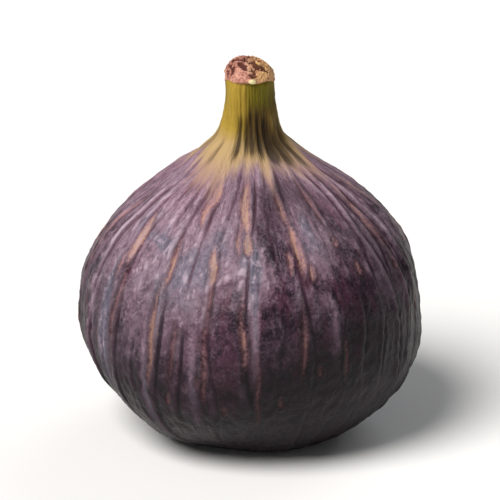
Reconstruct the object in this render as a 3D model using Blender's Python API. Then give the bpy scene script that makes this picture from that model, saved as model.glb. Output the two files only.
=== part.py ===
"""A fresh, whole fig that stands on its eye end, at its real size.

It is a fruit with its tapering neck, the corky end of the stalk that it was picked by, and the
six small scales that close the eye underneath. Metres, +Z up. The origin is the middle of the
ring that the fig stands on.
"""

import math

import bmesh
import bpy

MM = 0.001

# Driving sizes.
WIDTH = 56.3 * MM  # across the widest ring of the fruit
HEIGHT = 64.4 * MM  # from the surface it stands on to the top of the stalk end
NECK_TOP = 60.2 * MM  # where the green neck ends and the stalk end begins
FIT_GAP = 0.3 * MM  # between neighbouring solids

# The side of the fruit from its foot to the neck's top, as shares of the half width and of NECK_TOP.
SIDE = (
    (0.44, 0.005), (0.55, 0.022), (0.69, 0.065), (0.865, 0.144), (0.975, 0.245), (1.00, 0.355),
    (0.956, 0.481), (0.818, 0.598), (0.645, 0.681), (0.490, 0.738), (0.370, 0.778),
    (0.252, 0.823), (0.196, 0.849), (0.168, 0.881), (0.148, 0.950), (0.144, 1.000),
)  # fmt: skip
CURVE_STEPS = 2  # rings from one point of the side to the next

# The foot is a flat ring round the eye, where the ripe fruit has settled.
FOOT_INNER = 5.2 * MM
FOOT_OUTER = 9.6 * MM

# The eye is a small hollow, closed by two whorls of three scales.
EYE_RADIUS = 3.3 * MM
EYE_DEPTH = 2.9 * MM
EYE_ROUNDING = 0.5 * MM
SCALE_THICKNESS = 0.45 * MM
SCALE_TIP = 0.45 * MM  # from the fruit's axis to the scales' points
SCALE_HALF_ANGLES = (8, 50)  # degrees: at the point, and how much more at the hollow's wall
SCALE_BOW = 0.6  # how far a scale bulges down, as a share of its thickness
OUTER_WHORL = 0.65 * MM  # heights of the whorls' undersides
INNER_WHORL = 1.65 * MM

# The skin: ribs over the veins that run from the neck to the eye, and gentle lobes.
VEINS = 26
VEIN_HEIGHT = 0.45 * MM
COLUMNS_PER_VEIN = 4
LOBES = ((2, 0.010, 1.2), (3, 0.008, -0.5))  # waves round the fruit, their size as a share, their turn
FOOT_ENDS = (0.03, 0.3)  # the foot is even below the first share of NECK_TOP, ribbed above the second
NECK_STARTS = (0.6, 0.85)  # the ribs and lobes fade between these shares of NECK_TOP

# The neck's lean, and where it starts and would end as shares of NECK_TOP.
LEAN_BACK = 0.9 * MM  # towards +Y
LEAN_ASIDE = 0.4 * MM  # towards -X
LEAN_SPAN = (0.6, 1.15)

APEX_ASIDE = 0.8 * MM  # how far to the left of its middle the stalk end's top is

SKIN = (0.105, 0.060, 0.085)
CORK = (0.42, 0.22, 0.13)
SCALE_BROWN = (0.20, 0.13, 0.05)


def clear_scene():
    for obj in list(bpy.data.objects):
        bpy.data.objects.remove(obj, do_unlink=True)


def material(name, colour, roughness):
    made = bpy.data.materials.new(name)
    made.use_nodes = True
    shader = made.node_tree.nodes["Principled BSDF"]
    shader.inputs["Base Color"].default_value = (*colour, 1.0)
    shader.inputs["Roughness"].default_value = roughness
    shader.inputs["Metallic"].default_value = 0.0
    return made


def smoothstep(low, high, value):
    share = min(1.0, max(0.0, (value - low) / (high - low)))
    return share * share * (3.0 - 2.0 * share)


def curve_through(points, steps):
    """Points on a Catmull-Rom curve through the given (radius, height) points."""
    ends = [points[0], *points, points[-1]]
    found = []
    for before, start, end, after in zip(ends, ends[1:], ends[2:], ends[3:]):
        for step in range(steps):
            t = step / steps
            weights = (
                -0.5 * t + t**2 - 0.5 * t**3,
                1.0 - 2.5 * t**2 + 1.5 * t**3,
                0.5 * t + 2.0 * t**2 - 1.5 * t**3,
                -0.5 * t**2 + 0.5 * t**3,
            )
            near = (before, start, end, after)
            found.append(tuple(sum(w * p[i] for w, p in zip(weights, near)) for i in (0, 1)))
    return [*found, points[-1]]


def turned(outline, columns):
    """A bmesh turned from an outline of (radius, height) that starts and ends on the axis."""
    mesh = bmesh.new()
    verts = [mesh.verts.new((0.0, -radius, height)) for radius, height in outline]
    edges = [mesh.edges.new(pair) for pair in zip(verts, verts[1:])]
    bmesh.ops.spin(
        mesh, geom=verts + edges, cent=(0, 0, 0), axis=(0, 0, 1),
        angle=2 * math.pi, steps=columns, use_merge=True,
    )  # fmt: skip
    bmesh.ops.remove_doubles(mesh, verts=mesh.verts, dist=0.001 * MM)
    bmesh.ops.recalc_face_normals(mesh, faces=mesh.faces)
    return mesh


def lean(height):
    """How far the fig's axis has moved at this height, along X and Y: only the neck leans."""
    share = smoothstep(*LEAN_SPAN, height / NECK_TOP)
    return -LEAN_ASIDE * share, LEAN_BACK * share


def new_object(name, mesh, finish):
    shape = bpy.data.meshes.new(name)
    mesh.to_mesh(shape)
    mesh.free()
    shape.shade_smooth()
    shape.set_sharp_from_angle(angle=math.radians(50))
    shape.materials.append(finish)
    obj = bpy.data.objects.new(name, shape)
    bpy.context.scene.collection.objects.link(obj)
    return obj


def fruit_outline():
    """From the middle of the eye's floor, over the foot and the side, to the middle of the neck's top."""
    half = WIDTH / 2
    eye = [
        (0.0, EYE_DEPTH),
        (EYE_RADIUS - EYE_ROUNDING, EYE_DEPTH),
        (EYE_RADIUS, EYE_DEPTH - EYE_ROUNDING),
        (EYE_RADIUS + 0.4 * EYE_ROUNDING, 1.6 * EYE_ROUNDING),
        (EYE_RADIUS + 1.8 * EYE_ROUNDING, 0.5 * EYE_ROUNDING),
        (FOOT_INNER, 0.0),
    ]
    side = [(FOOT_OUTER, 0.0)] + [(share * half, level * NECK_TOP) for share, level in SIDE]
    return eye + curve_through(side, CURVE_STEPS) + [(0.0, NECK_TOP)]


def make_fruit():
    """The fruit and its neck, one grown piece: a turned shape with ribs, lobes and a leaning neck."""
    mesh = turned(fruit_outline(), VEINS * COLUMNS_PER_VEIN)
    for vert in mesh.verts:
        x, y, height = vert.co
        level = height / NECK_TOP
        turn = math.atan2(x, -y)
        above_foot = smoothstep(*FOOT_ENDS, level)
        below_neck = 1.0 - smoothstep(*NECK_STARTS, level)
        ribs = (0.5 + 0.5 * math.cos(VEINS * turn)) ** 2
        lift = VEIN_HEIGHT * above_foot * (0.3 + 0.7 * below_neck) * (ribs - 0.5)
        swell = sum(size * math.cos(waves * (turn - start)) for waves, size, start in LOBES)
        radius = math.hypot(x, y)
        if radius > EYE_RADIUS:
            radius = radius * (1.0 + swell * above_foot * below_neck) + lift
        aside, back = lean(height)
        vert.co.x = aside + radius * math.sin(turn)
        vert.co.y = back - radius * math.cos(turn)
    return new_object("fruit", mesh, material("fig_skin", SKIN, 0.55))


def make_stalk_end():
    """The corky stub of the stalk: a lopsided dome with an uneven rim, on the neck's flat top."""
    bottom = NECK_TOP + FIT_GAP
    rise = HEIGHT - bottom
    rim = SIDE[-1][0] * WIDTH / 2
    dome = ((0.0, 0.0), (0.92, 0.0), (0.99, 0.06), (1.02, 0.25), (0.97, 0.50),
            (0.82, 0.75), (0.52, 0.94), (0.2, 1.0), (0.0, 1.0))  # fmt: skip
    mesh = turned([(share * rim, bottom + level * rise) for share, level in dome], columns=40)
    for vert in mesh.verts:
        turn = math.atan2(vert.co.x, -vert.co.y)
        uneven = 1.0 + 0.035 * math.sin(3 * turn + 0.4) + 0.025 * math.sin(7 * turn)
        if vert.co.z > bottom + 0.05 * rise:
            vert.co.x *= uneven
            vert.co.y *= uneven
        aside, back = lean(vert.co.z)
        vert.co.x += aside - APEX_ASIDE * ((vert.co.z - bottom) / rise) ** 2
        vert.co.y += back
    return new_object("stalk_end", mesh, material("stalk_cork", CORK, 0.85))


def make_eye_scale(name, turn, height, reach, finish):
    """One pointed scale: a grid wrapped round the axis, narrowing from the hollow's wall to its middle."""
    mesh = bmesh.new()
    bmesh.ops.create_grid(mesh, x_segments=4, y_segments=6, size=1.0)
    for vert in mesh.verts:
        along = (vert.co.y + 1) / 2
        narrow, wider = SCALE_HALF_ANGLES
        half_angle = math.radians(narrow + wider * math.cos(0.5 * math.pi * along) ** 0.8)
        angle = turn + vert.co.x * half_angle
        distance = reach + (SCALE_TIP - reach) * along
        bow = SCALE_BOW * SCALE_THICKNESS * math.sin(math.pi * along)
        vert.co = (distance * math.sin(angle), -distance * math.cos(angle), height - bow)
    thick = bmesh.ops.extrude_face_region(mesh, geom=mesh.faces[:])["geom"]
    for element in thick:
        if isinstance(element, bmesh.types.BMVert):
            element.co.z += SCALE_THICKNESS
    bmesh.ops.recalc_face_normals(mesh, faces=mesh.faces)
    return new_object(name, mesh, finish)


def make_eye():
    """Two whorls of three scales: the inner one above the outer one, over its gaps."""
    finish = material("eye_scale", SCALE_BROWN, 0.7)
    whorls = ((OUTER_WHORL, EYE_RADIUS - FIT_GAP), (INNER_WHORL, EYE_RADIUS - 1.6 * FIT_GAP))
    for whorl, (height, reach) in enumerate(whorls):
        for i in range(3):
            turn = math.radians(20 + 60 * whorl + 120 * i)
            make_eye_scale(f"eye_scale_{3 * whorl + i + 1}", turn, height, reach, finish)


def centre_on_origin(fruit):
    """Shifts every piece alike, so that the fruit's box is centred over the origin."""
    across = [(v.co.x, v.co.y) for v in fruit.data.vertices]
    middle = [(min(side) + max(side)) / 2 for side in zip(*across)]
    for piece in bpy.context.scene.objects:
        for vert in piece.data.vertices:
            vert.co.x -= middle[0]
            vert.co.y -= middle[1]


def main():
    clear_scene()
    fruit = make_fruit()
    make_stalk_end()
    make_eye()
    centre_on_origin(fruit)


main()
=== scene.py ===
# %% [markdown]
# # A fresh fig
#
# This lesson finishes one whole, ripe fig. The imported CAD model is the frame: it says how big the
# fig is and where its eye, its neck and its stalk end are. Each piece below is a surface worked
# out with numpy as whole arrays, and each finish is a small program written as maths on the
# shader's sockets.
#
# The fig is 57 mm across, so lengths in this file are in millimetres until a mesh is made.

# %% Load the frame
import math
from types import SimpleNamespace

import bpy
import numpy as np
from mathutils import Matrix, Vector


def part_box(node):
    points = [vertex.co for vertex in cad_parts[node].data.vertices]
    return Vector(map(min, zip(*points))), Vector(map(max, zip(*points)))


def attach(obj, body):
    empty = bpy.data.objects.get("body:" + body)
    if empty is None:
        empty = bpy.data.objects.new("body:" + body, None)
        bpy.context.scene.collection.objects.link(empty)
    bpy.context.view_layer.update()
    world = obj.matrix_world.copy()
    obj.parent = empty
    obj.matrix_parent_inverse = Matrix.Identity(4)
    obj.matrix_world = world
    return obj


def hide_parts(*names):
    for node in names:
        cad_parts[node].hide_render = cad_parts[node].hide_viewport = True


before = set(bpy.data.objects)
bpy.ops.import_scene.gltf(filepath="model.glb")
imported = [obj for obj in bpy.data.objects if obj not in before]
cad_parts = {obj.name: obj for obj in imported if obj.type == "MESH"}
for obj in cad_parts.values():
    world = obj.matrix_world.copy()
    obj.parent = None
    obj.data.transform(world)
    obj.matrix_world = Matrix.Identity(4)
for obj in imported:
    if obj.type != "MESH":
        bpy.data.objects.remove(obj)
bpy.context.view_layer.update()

MM = 0.001
fruit_low, fruit_high = (np.array(corner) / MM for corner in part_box("fruit"))
stalk_high = np.array(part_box("stalk_end")[1]) / MM
HALF = (fruit_high[0] - fruit_low[0]) / 2 - 0.35  # half width without the veins' height
NECK_TOP = fruit_high[2]
TOP = stalk_high[2]
print(f"fruit {2 * HALF:.1f} mm across, neck top at {NECK_TOP:.1f} mm, fig {TOP:.1f} mm tall")

# %% [markdown]
# ## The camera and the light
#
# A fig on a pale table, seen from a little above with a long lens, so that its sides stay
# straight. The camera's distance follows from the fig's size. The light is what a fig's waxy skin
# likes best: one broad soft sun from the upper left, which slides along the ribs, a weak one from
# behind on the right to keep the shadow side readable, and a pale sky.

# %% Camera
VIEW_UP = math.radians(20)  # how far the camera looks down
LENS = 400.0
SENSOR = 36.0
FILL = 0.8  # the share of the picture's height that the fig takes
AIM_HEIGHT = 0.484  # where the camera looks, as a share of the fig's height
FOOT_REACH = 0.6  # how far the near edge of the foot comes forward, as a share of the half width


def aim(thing, spot):
    """Turns a camera or lamp at its own place so that its -Z axis points at the spot."""
    towards = np.array(spot) - np.array(thing.location)
    across = math.hypot(towards[0], towards[1])
    thing.rotation_euler = (math.atan2(across, -towards[2]), 0.0, math.atan2(-towards[0], towards[1]))


def add_camera():
    """Looks down by VIEW_UP, from so far off that the fig's seen height (its height times the
    cosine, plus its foot's reach times the sine) is FILL of the picture's."""
    seen = TOP * math.cos(VIEW_UP) + FOOT_REACH * HALF * math.sin(VIEW_UP)
    distance = seen * MM / FILL * LENS / SENSOR
    middle = (0.0, 0.0, AIM_HEIGHT * TOP * MM)
    data = bpy.data.cameras.new("camera")
    data.lens, data.sensor_width = LENS, SENSOR
    data.clip_start, data.clip_end = 0.01, 20.0
    camera = bpy.data.objects.new("camera", data)
    bpy.context.scene.collection.objects.link(camera)
    camera.location = (
        0.0, -distance * math.cos(VIEW_UP), middle[2] + distance * math.sin(VIEW_UP)
    )  # fmt: skip
    aim(camera, middle)
    bpy.context.scene.camera = camera
    print(f"camera {distance:.2f} m away, looking down {math.degrees(VIEW_UP):.0f} degrees")


add_camera()

# %% Light
KEY = dict(place=(-0.54, -0.58, 0.96), strength=4.1, spread=34, colour=(1.0, 0.975, 0.94))
BACK = dict(place=(0.55, 0.75, 0.7), strength=0.7, spread=40, colour=(0.96, 0.98, 1.0))


def add_sun(name, place, strength, spread, colour):
    """A sun shines evenly from one side: place only says which. Its spread softens shadows."""
    data = bpy.data.lights.new(name, "SUN")
    data.energy, data.angle, data.color = strength, math.radians(spread), colour
    sun = bpy.data.objects.new(name, data)
    bpy.context.scene.collection.objects.link(sun)
    sun.location = place
    aim(sun, (0.0, 0.0, 0.0))


def add_sky(colour, strength):
    world = bpy.data.worlds.new("pale_sky")
    world.use_nodes = True
    background = world.node_tree.nodes["Background"]
    background.inputs["Color"].default_value = (*colour, 1.0)
    background.inputs["Strength"].default_value = strength
    bpy.context.scene.world = world


add_sun("key", **KEY)
add_sun("back", **BACK)
add_sky((1.0, 1.0, 1.0), 0.14)
bpy.context.scene.view_settings.view_transform = "Standard"
print("a key sun, a back sun and a pale sky")

# %% [markdown]
# ## Shader maths as Python
#
# A node tree is easiest to read as a formula. A `Wire` is one output socket, and adding or
# multiplying wires adds the Math nodes. A `Finish` is one material: its `node` method makes any
# other node from its type, its settings and its sockets.


# %% Wires
class Wire:
    """An output socket that can be used in an expression. Every operation adds one Math node."""

    def __init__(self, finish, socket):
        self.finish, self.socket = finish, socket

    def math(self, operation, *values):
        sockets = dict(enumerate(values))
        return self.finish.node("ShaderNodeMath", {"operation": operation}, sockets)

    def __add__(self, other):
        return self.math("ADD", self, other)

    def __mul__(self, other):
        return self.math("MULTIPLY", self, other)

    def __sub__(self, other):
        return self.math("SUBTRACT", self, other)

    def __rsub__(self, other):
        return self.math("SUBTRACT", other, self)

    __radd__ = __add__
    __rmul__ = __mul__

    def size(self):
        return self.math("ABSOLUTE", self)

    def ramp(self, low, high):
        """0 at or below low, 1 at or above high, and smooth between them; the limits may be wires."""
        sockets = {"Value": self, "From Min": low, "From Max": high}
        return self.finish.node("ShaderNodeMapRange", {"interpolation_type": "SMOOTHSTEP"}, sockets)


class Finish:
    """A material with one Principled shader, and the nodes that feed it."""

    def __init__(self, name, **constants):
        self.material = bpy.data.materials.new(name)
        self.material.use_nodes = True
        self.tree = self.material.node_tree
        self.shader = self.tree.nodes["Principled BSDF"]
        for socket, value in constants.items():
            self.shader.inputs[socket.replace("_", " ")].default_value = value

    def node(self, kind, settings=None, sockets=None, output=0):
        """Makes a node, sets what it is told, then fills its sockets with numbers or wires."""
        made = self.tree.nodes.new(kind)
        for setting, value in (settings or {}).items():
            setattr(made, setting, value)
        for socket, value in (sockets or {}).items():
            if isinstance(value, Wire):
                self.tree.links.new(value.socket, made.inputs[socket])
            else:
                made.inputs[socket].default_value = value
        return Wire(self, made.outputs[output])

    def feed(self, socket, wire):
        self.tree.links.new(wire.socket, self.shader.inputs[socket])

    def attribute(self, name, output="Fac"):
        """A number (or a vector) that numpy has stored on each of the piece's vertices."""
        return self.node("ShaderNodeAttribute", {"attribute_name": name}, output=output)

    def place(self):
        """Where a point of the piece is, in its own metres."""
        return self.node("ShaderNodeTexCoord", output="Object")

    def stretch(self, vector, factors):
        sockets = {0: vector, 1: factors}
        return self.node("ShaderNodeVectorMath", {"operation": "MULTIPLY"}, sockets)

    def height(self, vector):
        return self.node("ShaderNodeSeparateXYZ", sockets={0: vector}, output=2)

    def noise(self, vector, scale, detail=3.0, roughness=0.5, distortion=0.0):
        """Cloudy noise from 0 to 1, most of it from 0.3 to 0.7."""
        sockets = {
            "Vector": vector, "Scale": scale, "Detail": detail,
            "Roughness": roughness, "Distortion": distortion,
        }  # fmt: skip
        return self.node("ShaderNodeTexNoise", sockets=sockets)

    def cells(self, vector, scale):
        """The distance to the nearest of many scattered points."""
        sockets = {"Vector": vector, "Scale": scale}
        return self.node("ShaderNodeTexVoronoi", sockets=sockets, output="Distance")

    def mix(self, share, first, second, blend="MIX"):
        """The first colour where share is 0, and the second where it is 1."""
        sockets = {0: share, 6: first, 7: second}
        settings = {"data_type": "RGBA", "blend_type": blend}
        return self.node("ShaderNodeMix", settings, sockets, output=2)

    def bump(self, height, distance):
        """Turns a height, in shares of the distance in metres, into a normal."""
        sockets = {"Height": height, "Distance": distance, "Strength": 1.0}
        return self.node("ShaderNodeBump", sockets=sockets)


def srgb(red, green, blue):
    """A colour given in the 0 to 255 steps of a screen, as the linear light that shaders use."""
    steps = np.array([red, green, blue]) / 255
    linear = np.where(steps <= 0.04045, steps / 12.92, ((steps + 0.055) / 1.055) ** 2.4)
    return (*map(float, linear), 1.0)


def ring_turns(count):
    """Turns in radians, evenly spaced once round, as a row."""
    return (np.arange(count) / count * 2 * math.pi)[None, :]


print("shader helpers ready")

# %% [markdown]
# ## The table
#
# A plain pale table, flat round the fig and rising very gently far away, like a wide dish. So no
# horizon shows, even from the side and low down. It belongs to the stage and not to the fig.


# %% Table
def make_table():
    """A turned dish: flat as far as 1.5 m out, then its height is 0.012 times the square of the
    distance beyond that. One flat face fills the middle."""
    reach = np.linspace(1.5, 8.0, 24)[:, None]
    around = ring_turns(96)
    rise = 0.012 * (reach - 1.5) ** 2 * np.ones_like(around)
    verts = np.stack([reach * np.cos(around), reach * np.sin(around), rise], axis=-1).reshape(-1, 3)
    index = np.arange(len(verts)).reshape(24, 96)
    beside = np.roll(index, -1, axis=1)
    quads = np.stack([index[:-1], index[1:], beside[1:], beside[:-1]], axis=-1).reshape(-1, 4)
    mesh = bpy.data.meshes.new("table")
    mesh.from_pydata(verts.tolist(), [], [*quads.tolist(), index[0].tolist()])
    mesh.shade_smooth()
    table = bpy.data.objects.new("table", mesh)
    bpy.context.scene.collection.objects.link(table)
    paper = Finish("table_paper", Roughness=0.9)
    paper.shader.inputs["Base Color"].default_value = (0.86, 0.86, 0.86, 1.0)
    mesh.materials.append(paper.material)


make_table()

# %% [markdown]
# ## Smooth random relief
#
# Skin is never even, and its unevenness has to close up where the fig's back meets its front. A
# sum of waves does that: each wave runs a whole number of times round the fruit, so there is no
# seam. The random numbers come from a seeded generator, so every run grows the same fig.


# %% Waves round the fruit
def waves(turn, along, seed, rounds, lengths, count=48):
    """Sum of cosines of (n times the turn, plus a full turn for every length along the skin, plus a
    random start): n is a whole number up to rounds, and the length in mm is between the two
    lengths. Scaled to a spread of 1."""
    draw = np.random.default_rng(seed)
    total = np.zeros(np.broadcast(turn, along).shape)
    for _ in range(count):
        n = draw.integers(0, rounds + 1)
        pace = 2 * math.pi / draw.uniform(*lengths) * draw.choice((-1, 1))
        total = total + np.cos(n * turn + pace * along + draw.uniform(0, 2 * math.pi))
    return total / math.sqrt(count / 2)


def smooth(low, high, value):
    """0 below low, 1 above high, and 3t^2 - 2t^3 between them; it falls where low is above high."""
    share = np.clip((value - low) / (high - low), 0.0, 1.0)
    return share * share * (3 - 2 * share)


def bell(value, width):
    """A bump of height 1: e to the minus half the square of value over width."""
    return np.exp(-0.5 * (value / width) ** 2)


print("relief spread", round(float(waves(np.linspace(0, 6, 500), 0.0, 1, 20, (4, 9)).std()), 2))

# %% [markdown]
# ## The fruit's outline
#
# A fig is a turned shape to begin with: a flat ring that it rests on, a round belly, shoulders
# that run in, and a neck. The outline has a few points, and a natural cubic spline joins them. It
# keeps the bend continuous, which a chain of arcs would not, and a glossy skin shows every break.


# %% Outline
EYE_RADIUS, EYE_DEPTH, FOOT_INNER, FOOT_OUTER = 3.3, 2.9, 5.2, 9.6
SIDE = np.array((
    (0.34, 0), (0.44, 0.005), (0.55, 0.022), (0.69, 0.065), (0.865, 0.144), (0.975, 0.245), (1, 0.355),
    (0.956, 0.481), (0.818, 0.598), (0.645, 0.681), (0.49, 0.738), (0.37, 0.778), (0.252, 0.823),
    (0.196, 0.849), (0.168, 0.881), (0.148, 0.95), (0.144, 1),
))  # fmt: skip
SIDE_ROWS = 132
COLUMNS = 616


def running_length(points):
    """The length of a line of points from its start to each of them."""
    return np.concatenate([[0.0], np.cumsum(np.hypot(*np.diff(points, axis=0).T))])


def spline(points, count):
    """A natural cubic spline through the points, read at even steps of its length. The knots are
    the chord lengths, and one linear system gives the bends that make slopes meet."""
    knots = running_length(points)
    gap = np.diff(knots)
    system = np.eye(len(points))
    wanted = np.zeros(points.shape)
    inner = np.arange(1, len(points) - 1)
    system[inner, inner - 1] = gap[:-1]
    system[inner, inner] = 2 * (gap[:-1] + gap[1:])
    system[inner, inner + 1] = gap[1:]
    slopes = np.diff(points, axis=0) / gap[:, None]
    wanted[inner] = 6 * np.diff(slopes, axis=0)
    bends = np.linalg.solve(system, wanted)

    def read(at):
        i = np.clip(np.searchsorted(knots, at, side="right") - 1, 0, len(gap) - 1)
        before, after, span = (at - knots[i])[:, None], (knots[i + 1] - at)[:, None], gap[i][:, None]
        return (
            (bends[i] * after**3 + bends[i + 1] * before**3) / (6 * span)
            + (points[i] / span - bends[i] * span / 6) * after
            + (points[i + 1] / span - bends[i + 1] * span / 6) * before
        )

    fine = read(np.linspace(0, knots[-1], 4000))
    length = running_length(fine)
    even = np.linspace(0, length[-1], count)
    return np.stack([np.interp(even, length, fine[:, k]) for k in (0, 1)], axis=1)


def fruit_outline():
    """(radius, height) rows from the eye's floor, over its wall and lip, the foot and the side, to
    the neck's end inside the stalk knob."""
    turn = np.linspace(0.0, math.pi / 2, 5)[1:]
    floor = np.stack([np.linspace(0.3, EYE_RADIUS - 0.5, 5), np.full(5, EYE_DEPTH)], axis=1)
    corner = np.stack([EYE_RADIUS - 0.5 * (1 - np.sin(turn)), EYE_DEPTH - 0.5 * (1 - np.cos(turn))], axis=1)
    lip = np.stack([EYE_RADIUS + 1.6 * (1 - np.cos(turn)), 1.5 * (1 - np.sin(turn))], axis=1)
    foot = np.stack([np.linspace(FOOT_INNER, FOOT_OUTER, 11)[:-1], np.zeros(10)], axis=1)
    side = spline(SIDE * (HALF, NECK_TOP), SIDE_ROWS)
    inside = SIDE[-1, 0] * HALF * np.array([0.98, 0.95, 0.9, 0.5])
    cap = np.stack([inside, NECK_TOP + np.array([0.4, 0.8, 1.15, 1.2])], axis=1)
    return np.concatenate([floor, corner, lip, foot, side, cap])


outline = fruit_outline()
print(f"{len(outline)} rows of {COLUMNS}, {2 * len(outline) * COLUMNS} triangles")

# %% [markdown]
# ## Veins, flutes and wrinkles
#
# About thirty veins run from the neck to the eye. Each lifts the skin in a soft swell with a
# sharper crest, and the skin folds into a groove on one side of it. Between two veins a fine line
# is drawn into the shoulder. The veins crowd together on the neck, where they become deep flutes,
# and between them the skin of a ripe fig puckers. All of this is real relief in the mesh, so the
# outline of the fig shows it too.
#
# Every vein is worked out from the distance, in mm along the skin, between a point and the vein's
# line, so its width stays true on the belly and on the neck.

# %% Places on the skin
turn = ring_turns(COLUMNS) - math.pi  # 0 faces the camera
radius, height = outline[:, :1], outline[:, 1:]
along = running_length(outline)[:, None]  # mm
foot_row = int(np.argmax(radius[:, 0] >= FOOT_OUTER - 0.01))
up_side = along - along[foot_row]  # mm up the side from the foot, negative inside it
off_foot = smooth(0.0, 9.0, up_side)
grid = np.broadcast_shapes(turn.shape, radius.shape)

# %% The veins' lines
VEINS_IN_VIEW = (  # turn in degrees, and how strongly the vein stands out
    (-84, 1.5), (-72, 1.8), (-63, 0.7), (-55, 1.2), (-45, 0.5), (-35.5, 1.4), (-26, 1), (-15.5, 1),
    (-3, 1.1), (8, 0.6), (19, 1), (30, 0.5), (40, 0.8), (50, 1), (58, 1.7), (66, 1.9), (74, 1.9),
    (84, 1.5),
)  # fmt: skip
VEINS_BEHIND = 15
WANDER = 0.9  # degrees that a vein strays to either side

draw = np.random.default_rng(21)
behind = np.linspace(86, 276, VEINS_BEHIND + 2)[1:-1] + draw.uniform(-3, 3, VEINS_BEHIND)
veins = np.radians(np.concatenate([[turn_at for turn_at, _ in VEINS_IN_VIEW], behind]))
boldness = np.concatenate([[bold for _, bold in VEINS_IN_VIEW], draw.uniform(0.6, 1.6, VEINS_BEHIND)])


def skin_distance(line):
    """Signed mm along the skin from a line of turns to each point, positive to the line's right:
    the turn between them, wrapped into half a round either way, times the radius."""
    between = (turn - line + math.pi) % (2 * math.pi) - math.pi
    return between * radius


def mm_from(at_turn):
    """Signed mm along the skin from a turn in degrees, positive to its right."""
    return skin_distance(math.radians(at_turn))


def degrees_from(at_turn):
    """Signed degrees round the fruit from a turn in degrees, the short way round."""
    return np.degrees(mm_from(at_turn) / radius)


def vein_line(number):
    """The turn of a vein at each row: its own, and a slow sway of WANDER degrees."""
    sway = waves(0.0, up_side, 100 + number, 0, (18, 60), count=5)
    return veins[number] + math.radians(WANDER) * sway * off_foot


vein_lines = [vein_line(number) for number in range(len(veins))]
spacing = 2 * math.pi * radius / len(veins)
print(len(veins), "veins,", round(float(spacing.max()), 1), "mm apart on the belly")


# %% Vein relief
def curve_of_height(*points):
    """The value at each row's height, on straight lines between (height, value) points."""
    heights, values = zip(*points)
    return np.interp(height, heights, values)


swell_height = off_foot * curve_of_height((0, 0.05), (10, 0.13), (38, 0.13), (46, 0.12), (50, 0.0))
crest_height = off_foot * curve_of_height((0, 0.05), (10, 0.1), (40, 0.09), (47, 0.08), (50, 0.0))
groove_depth = off_foot * curve_of_height(
    (0, 0.06), (12, 0.17), (30, 0.14), (38, 0.11), (45, 0.1), (49, 0.0)
)  # fmt: skip
swell_width = np.minimum(1.5, 0.26 * spacing)
relief, groove = np.zeros(grid), np.zeros(grid)
for number, line in enumerate(vein_lines):
    away = skin_distance(line)
    strength = 1.0 + 0.45 * waves(0.0, up_side, 200 + number, 0, (9, 30), count=6)
    strength = np.clip(strength, 0.15, 1.8) * boldness[number]
    side = draw.choice((-1, 1)) if abs(veins[number]) > 1.4 else 1
    relief += swell_height * strength * bell(away, swell_width)
    relief += crest_height * strength * bell(away, 0.4)
    fold = strength * bell(away - side * 0.8, 0.22)
    relief -= groove_depth * fold
    groove = np.maximum(groove, off_foot * fold * smooth(50, 47, height))
print(f"veins lift the skin by up to {relief.max():.2f} mm")

# %% Fine lines
FINE_LINES = (  # turn, top and bottom height, depth in mm
    (-78, 47, 26, 0.16), (-67.5, 47, 24, 0.14), (-59.5, 46, 38, 0.1), (-50, 47, 31, 0.13),
    (-41, 47, 35, 0.12), (-30, 46, 36, 0.08), (-21, 47, 38, 0.08), (-11, 46, 35, 0.1), (3.5, 46, 38, 0.12),
    (13, 46, 40, 0.08), (25, 46, 39, 0.1), (35, 46, 37, 0.1), (45, 46, 36, 0.1), (53.5, 47, 33, 0.24),
    (62, 48, 31, 0.34), (70, 48, 29, 0.34), (79, 48, 28, 0.3),
)  # fmt: skip
lines_behind = [
    (at, draw.uniform(44, 48), draw.uniform(24, 38), draw.uniform(0.08, 0.16))
    for at in np.linspace(92, 268, 22)
]
for number, (at_turn, top, bottom, deep) in enumerate((*FINE_LINES, *lines_behind)):
    sway = math.radians(0.7) * waves(0.0, up_side, 300 + number, 0, (10, 40), count=4)
    window = smooth(top + 2.0, top - 2.0, height) * smooth(bottom - 4.0, bottom + 4.0, height)
    line = window * bell(skin_distance(math.radians(at_turn) + sway), 0.18)
    relief -= 0.7 * deep * line
    groove = np.maximum(groove, 6.0 * deep * line)
print(len(FINE_LINES) + len(lines_behind), "fine lines between the veins")

# %% Neck ridges
NECK_RIDGES = (  # turn, half width in mm, height of the ridge and of its upper end in mm
    (-86, 0.8, 0.4, 57), (-66, 0.7, 0.42, 56), (-40, 1.15, 0.62, 61), (-14, 0.42, 0.34, 54),
    (-1, 0.4, 0.22, 52), (8, 0.45, 0.34, 55), (24, 0.38, 0.3, 53), (42, 0.4, 0.3, 53), (57, 0.6, 0.42, 57),
    (76, 0.6, 0.4, 58),
)  # fmt: skip
NECK_FURROWS = (  # turn, half width in mm, depth, and the heights that it runs between
    (-22, 0.42, 0.42, 49.2, 56.5), (-54, 0.4, 0.28, 47.5, 52.5), (-7, 0.34, 0.3, 49.6, 56),
    (2, 0.42, 0.36, 49.4, 57.5), (16, 0.5, 0.46, 49.4, 57), (34, 0.75, 0.62, 48.6, 55.5),
    (50, 0.5, 0.4, 47.5, 53.5), (67, 0.45, 0.34, 46.6, 53.5),
)  # fmt: skip
spread_out = np.linspace(95, 265, 10)
ridges_behind = [
    (at + draw.uniform(-4, 4), draw.uniform(0.5, 1.0), draw.uniform(0.3, 0.6), draw.uniform(53, 60))
    for at in spread_out
]
furrows_behind = [
    (at + 9, draw.uniform(0.4, 0.7), draw.uniform(0.25, 0.55), draw.uniform(46, 49), draw.uniform(52, 57))
    for at in spread_out
]
furrow = np.zeros(grid)
for at_turn, wide, high, end in (*NECK_RIDGES, *ridges_behind):
    width = wide * np.clip(radius / 5.5, 0.8, 1.7)
    window = smooth(44.5, 49.5, height) * smooth(end + 2.5, end - 3.5, height)
    relief += high * window * bell(mm_from(at_turn), width)
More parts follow.
